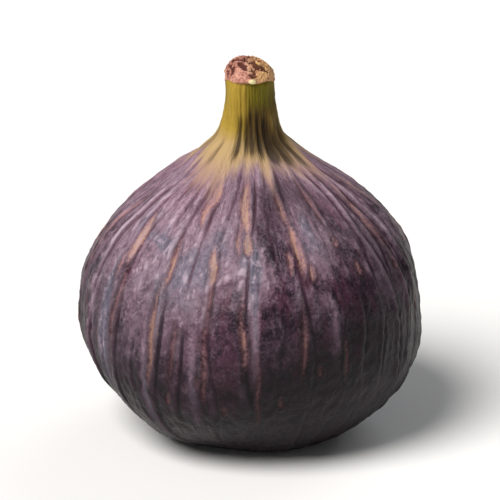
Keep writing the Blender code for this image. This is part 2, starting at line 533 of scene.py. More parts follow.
for at_turn, wide, deep, low_end, high_end in (*NECK_FURROWS, *furrows_behind):
    width = wide * np.clip(radius / 5.5, 0.8, 1.5)
    window = smooth(low_end - 1.5, low_end + 1.5, height) * smooth(high_end + 1.5, high_end - 2.5, height)
    cut = window * bell(mm_from(at_turn), width)
    relief -= deep * cut
    furrow = np.maximum(furrow, cut * deep / 0.45)
relief += 0.035 * smooth(47, 52, height) * waves(turn, up_side, 8, 60, (8, 40), count=60)
print(f"neck furrows up to {-relief.min():.2f} mm deep")

# %% Puckers and creases
puckers = waves(turn, up_side, 5, 70, (3.2, 11), count=70)
pucker_height = off_foot * curve_of_height((0, 0.03), (9, 0.06), (26, 0.07), (38, 0.05), (46, 0.01))
relief += pucker_height * (0.8 - 1.3 * np.abs(puckers))
relief += 0.022 * off_foot * waves(turn, up_side, 6, 160, (1.4, 4.0), count=90)
relief += 0.3 * off_foot * curve_of_height((0, 1), (40, 1), (48, 0)) * waves(turn, up_side, 7, 5, (26, 70))

CREASES_IN_VIEW = (  # turn, height, how steeply it climbs to the right, length and depth in mm
    (-8, 34, 25, 9, 0.28), (-46, 33.5, -35, 6, 0.16), (-46, 38.3, -12, 5, -0.14), (-29, 21.2, 5, 5, 0.16),
    (-24, 29.5, 20, 5, 0.12), (-48, 25.5, 10, 6, 0.14), (9, 40.5, -30, 5, 0.2), (-10, 21, 8, 5.5, 0.14),
    (10, 27, -20, 5, 0.14), (31, 30, 25, 5, 0.14), (-68, 23.5, 18, 6, 0.16), (44, 37, -25, 5, 0.14),
    (-21, 37, -40, 5, 0.1), (-12, 40, -48, 6, 0.14), (24, 22, 15, 5, 0.14),
)  # fmt: skip
creases_behind = [
    (draw.uniform(80, 280), draw.uniform(14, 40), draw.uniform(-40, 40), draw.uniform(4, 8),
     draw.uniform(0.1, 0.22)) for _ in range(26)
]  # fmt: skip
for at_turn, at_height, climb, length, depth in (*CREASES_IN_VIEW, *creases_behind):
    across, up = mm_from(at_turn), height - at_height
    slope = math.radians(climb)
    lengthwise = across * math.cos(slope) + up * math.sin(slope)
    sideways = up * math.cos(slope) - across * math.sin(slope) + 0.04 * lengthwise**2 / length
    window = bell(lengthwise, 0.36 * length) * (up_side > 0)
    relief -= depth * window * (bell(sideways, 0.3) - 0.6 * bell(sideways - 0.8, 0.45))
print(len(CREASES_IN_VIEW) + len(creases_behind), "creases among the puckers")


# %% The eye's lip and the skin's cavities
def blurred(values, reach):
    """The mean over a square of grid points, reach to each side, round the fruit and up it."""
    for axis, mode in ((1, "wrap"), (0, "edge")):
        pad = [(0, 0), (0, 0)]
        pad[axis] = (reach, reach)
        sums = np.cumsum(np.pad(values, pad, mode=mode), axis=axis)
        sums = np.insert(sums, 0, 0.0, axis=axis)
        count = values.shape[axis]
        far = np.take(sums, np.arange(2 * reach + 1, 2 * reach + 1 + count), axis=axis)
        values = (far - np.take(sums, np.arange(count), axis=axis)) / (2 * reach + 1)
    return values


EYE_PUCKERS = 22
around_eye = smooth(2.0, 3.4, radius) * smooth(9.5, 4.5, radius) * (height < 3)
relief -= 0.16 * around_eye * (1 + np.cos(EYE_PUCKERS * turn + 2.0 * np.sin(3 * turn)))
relief -= relief.mean(axis=1, keepdims=True) * (up_side > 0)  # each ring keeps its mean radius
crest = relief - blurred(relief, 5)
crest = np.clip(crest / 0.22, -1, 1)
print(f"crests and cavities from {crest.min():.1f} to {crest.max():.1f}")


# %% Put the relief on the turned shape
LOBES = ((2, 0.01, 1.2), (3, 0.008, -0.5))  # waves round the fruit, their share of it, their turn
LEAN, LEAN_ASIDE = 0.9, 0.4  # mm at the neck's top, back and to the left


def leaning(at_height):
    """How far back the fig's axis is: nothing on the fruit, and LEAN mm at the top of the neck. It
    leans to the left as well, by LEAN_ASIDE mm for every LEAN mm."""
    return LEAN * smooth(0.6, 1.15, at_height / NECK_TOP)


def fruit_points():
    """The outline's normal is its direction turned by a right angle. The relief moves a point
    along it, the lobes scale its radius, and a turn round the axis gives x and y."""
    direction = np.gradient(outline, axis=0)
    direction = direction / np.hypot(*direction.T)[:, None]
    out, up = direction[:, 1:], -direction[:, :1]
    level = height / NECK_TOP
    swell = sum(size * np.cos(count * (turn - start)) for count, size, start in LOBES)
    swell = swell * smooth(0.02, 0.3, level) * smooth(0.85, 0.6, level) * (up_side > 0)
    reach = radius * (1 + swell) + relief * out
    rise = np.maximum(height + relief * up, 0.0) * np.ones(grid)
    aside = LEAN_ASIDE / LEAN * leaning(rise)
    points = np.stack([reach * np.sin(turn) - aside, leaning(rise) - reach * np.cos(turn), rise], axis=-1)
    corners = points.reshape(-1, 3)
    middle = (corners.min(axis=0) + corners.max(axis=0)) / 2
    return points - np.array([middle[0], middle[1], 0.0]), middle


fruit_grid, shift = fruit_points()
size = np.ptp(fruit_grid.reshape(-1, 3), axis=0)
print("fruit", size.round(2), "mm; the CAD fruit", (fruit_high - fruit_low).round(2), "mm")

# %% [markdown]
# ## From a grid to a mesh
#
# One helper turns any closed grid of points into a mesh. Each row is a ring, neighbouring rings
# are joined with four-sided faces, and the first and last rings close to a middle point, so there
# is no hole at the poles. It also stores one number or vector per point, by name, for the shader,
# and unrolls the rings into a flat map named OFBake.


# %% Grid to mesh
def ring_mesh(name, points, finish, stored):
    """Four-sided faces between neighbouring rows and columns, with the columns taken round, and a
    fan of triangles at each end."""
    rows, columns = points.shape[:2]
    index = np.arange(rows * columns).reshape(rows, columns)
    beside = np.roll(index, -1, axis=1)
    quads = np.stack([index[:-1], beside[:-1], beside[1:], index[1:]], axis=-1).reshape(-1, 4)
    first, last = rows * columns, rows * columns + 1
    low_fan = np.stack([np.full(columns, first), beside[0], index[0]], axis=-1)
    high_fan = np.stack([np.full(columns, last), index[-1], beside[-1]], axis=-1)
    poles = np.stack([points[0].mean(axis=0), points[-1].mean(axis=0)])
    verts = np.concatenate([points.reshape(-1, 3), poles]) * MM
    mesh = bpy.data.meshes.new(name)
    mesh.from_pydata(verts.tolist(), [], quads.tolist() + low_fan.tolist() + high_fan.tolist())
    unroll(mesh, points)
    for title, values in stored.items():
        values = np.broadcast_to(values, (rows, columns, *values.shape[2:]))
        ends = np.stack([values[0].mean(axis=0), values[-1].mean(axis=0)])
        flat = np.concatenate([values.reshape(rows * columns, -1), ends.reshape(2, -1)])
        kind, field = ("FLOAT", "value") if values.ndim == 2 else ("FLOAT_VECTOR", "vector")
        layer = mesh.attributes.new(title, kind, "POINT")
        layer.data.foreach_set(field, flat.astype(np.float32).ravel())
    mesh.shade_smooth()
    mesh.materials.append(finish.material)
    piece = bpy.data.objects.new(name, mesh)
    bpy.context.scene.collection.objects.link(piece)
    print(f"{name}: {len(mesh.polygons)} faces, {np.ptp(verts, axis=0).round(4)} m")
    return piece


def unroll(mesh, points):
    """A map whose width is the turn and whose height is the share of the length along the rows."""
    rows, columns = points.shape[:2]
    steps = np.linalg.norm(np.diff(points, axis=0), axis=-1).mean(axis=1)
    edge = 0.5 / rows
    shares = np.concatenate([[edge], edge + (1 - 2 * edge) * np.cumsum(steps) / steps.sum()])
    left = np.arange(columns) / columns
    right = left + 1 / columns
    u = np.stack([left, right, right, left], axis=-1)
    u = np.broadcast_to(u, (rows - 1, columns, 4))
    v = np.stack([shares[:-1], shares[:-1], shares[1:], shares[1:]], axis=-1)
    v = np.broadcast_to(v[:, None, :], (rows - 1, columns, 4))
    quads = np.stack([u, v], axis=-1).reshape(-1, 2)
    middle = (left + right) / 2
    low = np.stack([middle, right, left], axis=-1), np.array([0.0, shares[0], shares[0]])
    high = np.stack([middle, left, right], axis=-1), np.array([1.0, shares[-1], shares[-1]])
    fans = [
        np.stack([across, np.broadcast_to(up, across.shape)], axis=-1).reshape(-1, 2)
        for across, up in (low, high)
    ]
    flat = np.concatenate([quads, *fans]).astype(np.float32).ravel()
    mesh.uv_layers.new(name="OFBake").uv.foreach_set("vector", flat)


# %% [markdown]
# ## Where the colours go
#
# A ripe fig's colour follows its relief. The veins break open in copper cracks, tan streaks fan
# out from the neck along the flutes, and the waxy bloom lies in patches, a little thicker on the
# crests, and is rubbed off elsewhere. The skin darkens towards the eye and on the side away from the
# key sun, partly as ripeness and partly as painted shade. Some bloom patches and a few low veins are
# also painted highlight and sheen, and the hollows, folds and furrows painted shade. Each of these is
# worked out here as a smooth number per point. The shader then roughens its edge with noise, which
# is far finer than the mesh.

# %% Copper cracks
CRACKS = (  # turn, top and bottom height, half width in mm, tone from 0 (dark red) to 1 (golden)
    (-57, 41, 33.5, 0.92, 0.88), (-59, 36, 31, 0.45, 0.45), (-55, 33.5, 21, 0.45, 0.25),
    (-34.5, 39, 32, 0.4, 0.75), (-36, 32.5, 15, 0.58, 0.75), (-27, 47, 41, 0.78, 0.5),
    (-27, 27, 19, 0.35, 0.35), (-16, 38.5, 33.6, 0.6, 1), (-15.5, 33, 25, 0.22, 0.3),
    (-16, 25.5, 14, 0.42, 0.2), (-6, 42, 37.5, 0.3, 0.55), (-3, 46.8, 40.4, 0.82, 0.85),
    (-2, 40.5, 37.8, 0.75, 0.95), (-3, 33, 20, 0.46, 0.45), (2, 22, 10, 0.26, 0.25),
    (18.5, 45.5, 41, 0.45, 0.6), (20.5, 41.5, 34.5, 0.8, 0.55), (15.5, 38, 35, 0.35, 0.45),
    (24, 36, 33.5, 0.5, 0.7), (18, 30.5, 18, 0.38, 0.4), (39, 46, 40.5, 0.36, 0.12),
    (40, 39, 37.5, 0.42, 0.8), (46, 35.5, 33, 0.4, 0.5), (34, 24, 17, 0.26, 0.4),
    (10, 15.5, 12.5, 0.4, 0.25), (-29, 15.5, 13.5, 0.32, 0.4), (-9, 14, 11.5, 0.34, 0.25),
    (-18, 19.5, 17, 0.26, 0.3), (24, 20.5, 18, 0.28, 0.35),
)  # fmt: skip


def cracks_behind():
    """One or two stretches of crack on most of the veins at the sides and behind."""
    found = []
    for line in np.degrees(veins):
        if 62 < line % 360 < 285 and draw.uniform() < 0.75:
            top = draw.uniform(30, 47)
            bottom = top - draw.uniform(5, 18)
            found.append((line, top, max(bottom, 10), draw.uniform(0.3, 0.75), draw.uniform(0.1, 1.0)))
            if draw.uniform() < 0.5:
                found.append((line + 1, bottom - 3, max(bottom - 12, 9), draw.uniform(0.2, 0.5), 0.3))
    return found


crack_inside = np.full(grid, -4.0)  # mm inside the nearest crack's edge, negative outside
tone_sum, tone_weight = np.full(grid, 1e-4), np.full(grid, 2e-4)
for at_turn, top, bottom, half_width, tone in (*CRACKS, *cracks_behind()):
    sway = 0.16 * waves(0.0, up_side, int(top * 7 + bottom), 0, (7, 24), count=5)
    away = np.abs(mm_from(at_turn) - sway)
    reach = (top - bottom) / 2
    taper = 1 - (np.abs(height - (top + bottom) / 2) / reach) ** 2.5
    inside = half_width * np.clip(taper, -2, 1) - away
    inside = np.where(up_side > 0, inside, -4.0)
    crack_inside = np.maximum(crack_inside, inside)
    weight = np.exp(np.clip(inside, -4, 1) * 3)
    tone_sum += weight * tone
    tone_weight += weight
crack_tone = tone_sum / tone_weight
relief_in_crack = smooth(-0.35, 0.35, crack_inside)
print(f"cracks cover {100 * (crack_inside > 0).mean():.1f} % of the rows")

# %% The neck's streaks
STREAKS = (  # turn, and the height that the neck's tan reaches down to
    (-72, 47.4), (-60, 46.4), (-50, 46.2), (-42, 45.8), (-33, 46.2), (-26, 46.5), (-15.5, 48.2),
    (-3, 48.4), (8, 49), (17, 46.7), (30, 48.9), (40, 48), (50, 47), (59, 47), (67, 46.8), (75, 46.6),
)  # fmt: skip
BETWEEN_STREAKS = 49.4  # the height that the tan reaches down to between them
neck_edge = np.full(grid, BETWEEN_STREAKS)
behind_streaks = [(line, draw.uniform(45.0, 48.5)) for line in np.degrees(veins[len(VEINS_IN_VIEW):])]
for at_turn, low in (*STREAKS, *behind_streaks):
    away = mm_from(at_turn)
    neck_edge = neck_edge - (BETWEEN_STREAKS - low) * bell(away, np.minimum(0.85, 0.3 * spacing))
above_edge = np.where(up_side > 0, height - neck_edge, -30.0)  # mm above the neck's ragged edge
print(f"the tan starts {neck_edge.min():.1f} to {neck_edge.max():.1f} mm up")

# %% The neck's stains and painted shade
# Brown stains; the dark ones on the right front are also painted shade on the neck's shadow side.
STAINS_AND_SHADE = (  # turn, half width in degrees, lower and upper height, how dark
    (26, 22, 50, 58.5, 1), (-5, 9, 50, 56, 0.55), (60, 16, 47.5, 53, 0.5), (68, 14, 50, 60, 0.6),
    (120, 20, 47, 57, 0.6), (172, 26, 48, 58, 0.9), (228, 22, 47, 56, 0.7),
)  # fmt: skip
stain = np.zeros(grid)
for at_turn, wide, low_end, high_end, dark in STAINS_AND_SHADE:
    window = smooth(low_end - 1.5, low_end + 2.0, height) * smooth(high_end + 2.0, high_end - 2.0, height)
    stain += dark * window * bell(degrees_from(at_turn), wide)

# Darker olive on the right and less on the left: partly the neck's green, partly painted shade.
FLUSHES_AND_SHADE = ((26, 26, 0.75), (-38, 26, -0.55), (150, 30, 0.4), (255, 25, 0.3))  # turn, width, how green
greenness = 0.35 + 0.25 * waves(turn, up_side, 33, 4, (20, 60), count=12)
for at_turn, wide, amount in FLUSHES_AND_SHADE:
    greenness = greenness + amount * bell(degrees_from(at_turn), wide)
greenness = np.clip(greenness, 0, 1) * smooth(54.5, 59.0, height)
print(f"stains up to {stain.max():.1f}, and {100 * (greenness > 0.5).mean():.0f} % of the rows green")

# %% Bloom, ripeness and painted light and shade
# Patches of more or less bloom; those at (-20, 35), (-25, 34.5) and (0, 36.5) are painted highlight where
# the key sun is brightest.
BLOOM_AND_HIGHLIGHT_PATCHES = (  # turn, height, half sizes in mm along and up the skin, how much bloom it adds
    (27, 39.5, 2.4, 3.6, 1.1), (31, 36, 3, 2.6, 0.45), (57, 32, 2.2, 5, 0.6), (0.5, 31, 0.7, 7, 0.85),
    (-61, 20, 1, 8, 1.1), (-37.5, 13, 0.8, 6, 1), (-66, 29, 2.5, 6, 0.45), (-20, 35, 4, 7, 0.35),
    (-46, 38.2, 2.6, 0.6, 0.6), (9, 40.5, 2.4, 2, -0.9), (13, 37.5, 1.6, 2, -0.8), (-19, 15, 1, 5, 0.45),
    (24, 30, 1, 4, 0.2), (-48, 24, 2.5, 3.5, 0.25), (6, 25, 3.2, 7, -0.35), (44, 22, 4, 9, -0.3),
    (-8, 27, 2.2, 5, -0.3), (33, 44, 2.2, 2, -0.3), (-25, 34.5, 4.5, 4.5, 0.62), (0, 36.5, 1.6, 3.4, 0.8),
    (-45, 30, 4, 8, 0.15), (66, 40, 5, 6, 0.45),
)  # fmt: skip
# Spots painted darker, or lighter where negative: partly the skin's own tone, partly painted shade.
RIPE_AND_SHADE_PATCHES = (  # turn, height, half sizes in degrees and mm, how much darker
    (17, 45.2, 15, 2.4, 0.5), (30, 29.5, 4, 2.6, -0.14), (6, 26, 8, 7, 0.14), (-50, 18, 14, 6, -0.1),
    (-66, 24, 16, 6, 0.1), (8, 40.5, 5, 3, 0.35), (28, 41.5, 6, 3, -0.08), (57, 37.5, 9, 3, 0.26),
    (-27, 35, 7, 3, -0.14), (-1, 34.5, 3.5, 2.5, -0.16), (-14, 32.5, 6, 4, 0.15),
    (-14, 45.8, 6, 1.6, 0.22),
)  # fmt: skip
BLOOM_AND_SHEEN_RIDGES = (  # turn, height, half sizes in mm, how much pale bloom and painted sheen a vein gets low down
    (-61, 20, 0.75, 9, 0.6), (-39, 13, 0.55, 6, 0.5), (-70, 22, 0.6, 8, 0.35), (1.5, 27.5, 0.32, 6, 0.45),
    (-20, 16, 0.5, 6, 0.25), (30, 24, 0.8, 5, 0.25),
)  # fmt: skip


def patch(at_turn, at_height, wide, tall):
    """A soft spot: a bell across the skin, in mm, times a bell of the height."""
    return bell(mm_from(at_turn), wide) * bell(height - at_height, tall)


# Bloom thins towards the eye, which darkens the bottom, partly as painted shade.
bloom = curve_of_height((0, 0.0), (8, 0.02), (18, 0.18), (28, 0.46), (36, 0.62), (44, 0.62), (50, 0.45))
bloom = bloom + 0.12 * waves(turn, up_side, 31, 9, (12, 40)) + 0.1 * waves(turn, up_side, 32, 40, (6, 18))
for *place, amount in BLOOM_AND_HIGHLIGHT_PATCHES:
    bloom = bloom + amount * patch(*place)
degrees = np.degrees(turn)
shaded = 0.5 * smooth(2, 36, degrees) * smooth(150, 95, degrees)  # the sides away from the key sun: less bloom and more dark here are painted shade
shaded = shaded + 0.07 * smooth(-48, -66, degrees) * smooth(-140, -100, degrees)
# A little more bloom on the crests, partly painted highlight, and less on the shaded sides, painted shade.
bloom = np.clip(bloom + 0.16 * crest - shaded * smooth(46, 40, height), 0, 1.4) * (up_side > -4)
# Darker towards the eye and on the side away from the key sun: partly ripeness, partly painted shade.
ripeness = curve_of_height(
    (8, 0.95), (15, 0.88), (21, 0.66), (26, 0.5), (31, 0.34), (36, 0.12), (40, 0.0)
)  # fmt: skip
ripeness = ripeness + 0.62 * shaded * smooth(50, 45, height)
for at_turn, at_height, wide, tall, amount in RIPE_AND_SHADE_PATCHES:
    ripeness = ripeness + amount * bell(degrees_from(at_turn), wide) * bell(height - at_height, tall)
# These veins get pale bloom and less dark: partly bloom, partly painted sheen.
for *place, amount in BLOOM_AND_SHEEN_RIDGES:
    ridge = amount * patch(*place)
    ripeness = ripeness - 0.8 * ridge
    bloom = bloom + 1.7 * ridge
ripeness = np.clip(ripeness, 0, 1)
print(f"bloom {bloom.min():.2f} to {bloom.max():.2f}, ripeness up to {ripeness.max():.2f}")

# %% Press the cracks into the relief
edges = bell(crack_inside, 0.3)
relief += 0.1 * edges - 0.2 * relief_in_crack  # a raised lip round a shallow hollow
fruit_grid, shift = fruit_points()

# %% [markdown]
# ## The skin's finish
#
# The skin is painted in layers: a deep purple that mottles towards mauve, on it the bloom, a
# blue-grey wax film with rubbed spots, then the copper flesh of the cracks, and last the neck's
# tan, gold and olive. Each layer is one function, and one mix decides where it covers the last.
#
# Patterns that follow the skin read `skin`, a vector stored on the points: the place on a straight
# cylinder of the fruit's width, with the length up the skin as its height. On it, noise stretched
# upwards gives streaks that run along the veins, and nothing shows a seam.


# %% Skin colours
DEEP, PURPLE, WINE, RIPE_AND_SHADE = srgb(48, 33, 46), srgb(96, 70, 90), srgb(106, 60, 78), srgb(70, 50, 66)
MAUVE, BLOOM, WAX, PALE = srgb(150, 110, 130), srgb(166, 140, 156), srgb(122, 120, 136), srgb(200, 178, 192)
BEIGE, STRAW, GOLD, OLIVE = srgb(162, 130, 118), srgb(178, 150, 106), srgb(164, 136, 50), srgb(112, 96, 20)
GREEN, BROWN, FURROW_SHADE = srgb(102, 94, 14), srgb(68, 50, 18), srgb(42, 28, 14)
DUST, CREASE_SHADE, CREST_HIGHLIGHT = srgb(150, 140, 150), srgb(82, 52, 66), srgb(188, 164, 118)
RUST, ROSE, SALMON, COPPER = srgb(100, 60, 64), srgb(140, 100, 102), srgb(172, 130, 116), srgb(170, 140, 118)


def per(millimetres):
    """The scale of a pattern whose features are this far apart."""
    return 1000.0 / millimetres


# %% Skin patterns
STORED = {
    "crest": crest, "crack_inside": crack_inside, "crack_tone": crack_tone, "above_edge": above_edge,
    "bloom": bloom, "groove": groove, "furrow": furrow, "stain": stain, "ripeness": ripeness,
    "greenness": greenness,
}  # fmt: skip
RELIEF_DEPTH = 0.00042  # metres, of the grain that is too fine for the mesh


def skin_patterns(f):
    """What the layers read, by name: the numbers stored on the points, noise at several scales, and
    masks made of both, so that every border is as ragged as the real one."""
    p = SimpleNamespace(**{title: f.attribute(title) for title in STORED})
    skin, place = f.attribute("skin", "Vector"), f.place()
    streaked = f.stretch(skin, (1.0, 1.0, 0.16))
    p.level = f.height(place) * 1000.0  # mm above the table
    p.cloud = f.noise(place, per(11), 2.0)
    p.mottle = f.noise(skin, per(2.6), 5.0, 0.66, 0.25)
    p.dust = f.noise(skin, per(0.75), 3.0, 0.7)
    p.grain = f.noise(skin, per(0.5), 2.0, 0.6)
    p.flecks = f.noise(f.stretch(skin, (1.0, 1.0, 0.55)), per(1.1), 2.0, 0.5, 0.4)
    p.stripes = f.noise(streaked, per(0.7), 3.0, 0.6)
    p.wide_stripes = f.noise(streaked, per(2.6), 2.0, 0.5)
    p.worn = p.bloom + 1.3 * (p.mottle - 0.5) + 0.7 * (p.grain - 0.5) + 1.2 * (p.cloud - 0.5)
    p.film = p.worn.ramp(-0.05, 1.05)
    # Partly ripeness and partly painted shade, darkest low down and on the shady side.
    p.ripe = (p.ripeness + 0.5 * (p.cloud - 0.5)).ramp(0.0, 1.0)
    p.split = p.crack_inside + 0.5 * (p.grain - 0.5) + 1.3 * (p.mottle - 0.5)
    p.open_crack = p.split.ramp(-0.6, 0.55)
    p.lip = p.split.ramp(-0.9, -0.3) * (1 - p.open_crack)
    p.above = (
        p.above_edge + 2.0 * (p.stripes - 0.5) + 2.0 * (p.mottle - 0.5) + 2.4 * (p.wide_stripes - 0.5)
    )  # fmt: skip
    return p


# %% Purple skin and bloom
def purple_skin(f, p):
    """Deep purple with wine stripes and a mauve shoulder, then the wax film with its dust and its flecks,
    which are partly painted glints, then painted shade in the folds and hollows and painted highlight on
    the crests. Ripeness and painted shade multiply the whole by a dark purple."""
    base = f.mix((p.mottle + 0.6 * (p.grain - 0.5)).ramp(0.34, 0.66), DEEP, PURPLE)
    base = f.mix((p.wide_stripes + 0.4 * (p.mottle - 0.5)).ramp(0.46, 0.64) * 0.55, base, WINE)
    base = f.mix(p.above_edge.ramp(-10.0, 0.0) * (0.25 + 0.6 * p.stripes.ramp(0.35, 0.65)), base, MAUVE)
    base = f.mix(p.film * 0.62, base, f.mix(p.worn.ramp(0.85, 1.5), BLOOM, WAX))
    base = f.mix(p.dust.ramp(0.55, 0.38) * 0.45, base, DUST, "MULTIPLY")
    # Pale flecks: partly pale bloom, partly painted glints.
    fleck_and_glint = (p.flecks + 0.35 * (p.grain - 0.5)).ramp(0.56, 0.7)
    base = f.mix(fleck_and_glint * (0.08 + 0.3 * p.film), base, PALE)
    # Painted shade in the hollows, and painted highlight on the crests where the film lies.
    base = f.mix(p.crest.ramp(0.0, -0.9) * 0.3, base, DEEP)
    base = f.mix(p.crest.ramp(0.1, 0.9) * p.film * 0.45, base, PALE)
    # Painted shade in the grooves and fine lines, darker low down.
    fold = f.mix(p.level.ramp(40.0, 26.0), CREASE_SHADE, DEEP)
    base = f.mix((p.groove + 0.6 * (p.grain - 0.5)).ramp(0.25, 1.3) * 0.72, base, fold)
    # The dark purple multiply is partly ripeness and partly painted shade.
    return f.mix(p.ripe, base, RIPE_AND_SHADE, "MULTIPLY")


# %% Cracked veins
def open_cracks(f, p, base):
    """A lip darkened as painted shade, and inside it dry flesh that goes from rust over rose and salmon to
    copper with the crack's tone. It is a little see-through between its threads."""
    # The darker lip round each crack is painted shade along its edge.
    base = f.mix(p.lip * 0.42, base, RIPE_AND_SHADE, "MULTIPLY")
    inner = p.crack_tone + 0.8 * p.split.ramp(-0.2, 0.5) + 1.0 * (p.stripes - 0.5) + 0.9 * (p.grain - 0.5)
    flesh = f.mix(inner.ramp(0.3, 0.9), RUST, ROSE)
    flesh = f.mix(inner.ramp(0.9, 1.5), flesh, SALMON)
    flesh = f.mix(inner.ramp(1.45, 1.9), flesh, COPPER)
    # The flesh darkens low down too, partly ripeness and partly painted shade.
    flesh = f.mix(p.ripe * 0.78, flesh, RIPE_AND_SHADE, "MULTIPLY")
    threads = (p.stripes + 0.5 * (p.grain - 0.5)).ramp(0.35, 0.6)
    return f.mix(p.open_crack * (0.45 + 0.45 * threads), base, flesh)


# %% Neck
def green_neck(f, p, base):
    """Beige and straw at the shoulder, gold and olive above, with brown stains and a green flush that also
    paint the shade on its right side, painted shade in the furrows and painted highlight on the ridges.
    Its lower border frays along the stripes."""
    high = p.level + 2.4 * (p.stripes - 0.5) + 1.6 * (p.cloud - 0.5)
    stem = f.mix(high.ramp(46.0, 50.5), BEIGE, STRAW)
    stem = f.mix(high.ramp(50.5, 54.0), stem, GOLD)
    olive = (p.greenness + 1.2 * (p.wide_stripes - 0.5)).ramp(-0.1, 0.5) * high.ramp(53.0, 57.5)
    stem = f.mix(olive * 0.85, stem, OLIVE)
    stem = f.mix((p.stain + 0.9 * (p.stripes - 0.5)).ramp(0.05, 0.95) * 0.9, stem, BROWN)
    stem = f.mix((p.greenness + 0.5 * (p.mottle - 0.5)).ramp(0.05, 0.95) * 0.8, stem, GREEN)
    # Painted shade in the furrows.
    stem = f.mix((p.furrow + 0.7 * (p.stripes - 0.5)).ramp(0.15, 0.95) * 0.9, stem, FURROW_SHADE)
    # Painted highlight on the neck's ridges.
    stem = f.mix(p.crest.ramp(0.15, 0.9) * high.ramp(58.0, 51.0) * 0.35, stem, CREST_HIGHLIGHT)
    return f.mix(p.above.ramp(-2.2, 1.3), base, stem)


# %% The whole finish, and the fruit
def skin_finish():
    f = Finish("fig_skin_finish", Specular_IOR_Level=0.17)
    p = skin_patterns(f)
    f.feed("Base Color", green_neck(f, p, open_cracks(f, p, purple_skin(f, p))))
    f.feed("Roughness", 0.38 + 0.2 * p.film + 0.2 * (p.grain - 0.5) + 0.18 * p.open_crack)
    relief_height = (
        0.26 * p.grain + 0.55 * p.mottle + (0.22 - 0.14 * p.above.ramp(-1.0, 2.0)) * p.stripes
        - 0.3 * p.open_crack * (0.4 + p.stripes) + 0.16 * p.lip
    )  # fmt: skip
    f.feed("Normal", f.bump(relief_height, RELIEF_DEPTH))
    print(f"the skin's finish has {len(f.tree.nodes)} nodes")
    return f


skin_place = np.stack(np.broadcast_arrays(HALF * np.sin(turn), -HALF * np.cos(turn), along), axis=-1)
skin = skin_finish()
fruit = ring_mesh("ripe_fruit", fruit_grid, skin, {"skin": skin_place * MM, **STORED})
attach(fruit, "root")
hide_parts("fruit")

# %% [markdown]
# ## The end of the stalk
#
# The stalk broke off when the fig was picked. Its end has dried to a domed, corky knob, a little
# wider than the neck, with pits where the veins ran through it and a bead of dried milk at its
# front edge. It is one ring mesh again: a dome whose rim wanders, with its top set off centre.

# %% Stalk knob
KNOB_ROWS, KNOB_COLUMNS = 80, 176
NECK_RADIUS = SIDE[-1, 0] * HALF
APEX_ASIDE = 0.8  # mm from the knob's middle to its top, to the left
KNOB_PITS = (  # turn, distance from the middle and half width in mm, of the pits in front
    (-62, 2.9, 0.45), (-46, 3.3, 0.5), (-22, 2.4, 0.65), (-8, 2.9, 0.6), (2, 1.3, 0.45), (-75, 1.4, 0.55),
    (34, 2.7, 0.7), (52, 3.3, 0.5), (-70, 3.7, 0.4), (16, 3.4, 0.4), (-30, 1.2, 0.5), (70, 2.4, 0.45),
)  # fmt: skip


def knob_dome(share, around):
    """Rows go from under the rim to the top, along a quarter ellipse: the reach falls as the
    cosine of the row's angle and the height rises as its sine. Lumps and grains push it out."""
    under = smooth(0.0, 0.12, share)
    slope = np.clip((share - 0.12) / 0.88, 0, 1) * math.pi / 2
    reach = NECK_RADIUS * 1.02 * np.maximum(np.cos(slope), 0.02) ** 0.86 * (0.9 + 0.1 * under)
    reach = reach * (1 + 0.03 * np.cos(3 * around + 0.6) + 0.022 * np.cos(5 * around + 2.0))
    floor = NECK_TOP + 1.15 * smooth(-0.5, 1.0, np.cos(around)) + 0.14 * np.cos(6 * around + 1)
    rise = floor + (TOP + 0.05 - floor) * np.sin(slope)
    rise = rise - 0.35 * (1 - under)
    lumps = waves(around, share * 6.0, 41, 7, (1.6, 5.0), count=40) * smooth(0.05, 0.3, share)
    grains = waves(around, share * 6.0, 42, 40, (0.5, 1.4), count=80) * smooth(0.05, 0.3, share)
    bulge = 0.08 * lumps * (0.35 + 0.65 * (1 - share)) + 0.045 * grains
    reach = reach + bulge
    return reach * np.sin(around), -reach * np.cos(around), rise + 0.8 * bulge * np.sin(slope), slope


def pits_of_knob(x, y, share, around):
    """1 in the middle of a pit and 0 outside it: round pits with a ragged edge, some listed in
    front and the rest scattered."""
    draw = np.random.default_rng(77)
    spots = [(math.radians(at), out, wide) for at, out, wide in KNOB_PITS]
    spots += [(draw.uniform(0, 6.3), draw.uniform(0.5, 3.9), draw.uniform(0.16, 0.5)) for _ in range(46)]
    ragged = 0.12 * waves(around, share * 6.0, 43, 30, (0.5, 1.6), count=60)
    pits = np.zeros(x.shape)
    for at_turn, out, wide in spots:
        gap = np.hypot(x - out * math.sin(at_turn), y + out * math.cos(at_turn)) + ragged
        pits = np.maximum(pits, smooth(wide + 0.12, wide - 0.25, gap) * min(1.0, wide / 0.45))
    return pits * smooth(0.16, 0.3, share)


def knob():
    """The dome with its pits pressed in and the bead of dried milk raised. Its top is moved aside
    and the neck's lean is added. The last number, gilt, rises from left to right."""
    share = np.linspace(0.0, 1.0, KNOB_ROWS)[:, None]
    around = ring_turns(KNOB_COLUMNS)
    x, y, z, slope = knob_dome(share, around)
    pits = pits_of_knob(x, y, share, around)
    z = z - 0.4 * pits
    bead = smooth(0.85, 0.3, np.hypot(x - 0.45, 1.3 * (z - NECK_TOP - 1.35))) * (y < 0)
    y = y - 0.55 * bead
    aside = APEX_ASIDE * np.sin(slope) ** 2 + LEAN_ASIDE / LEAN * leaning(z)
    points = np.stack([x - aside - shift[0], y + leaning(z) - shift[1], z], axis=-1)
    return points, pits, bead, smooth(-1.8, 2.8, x)


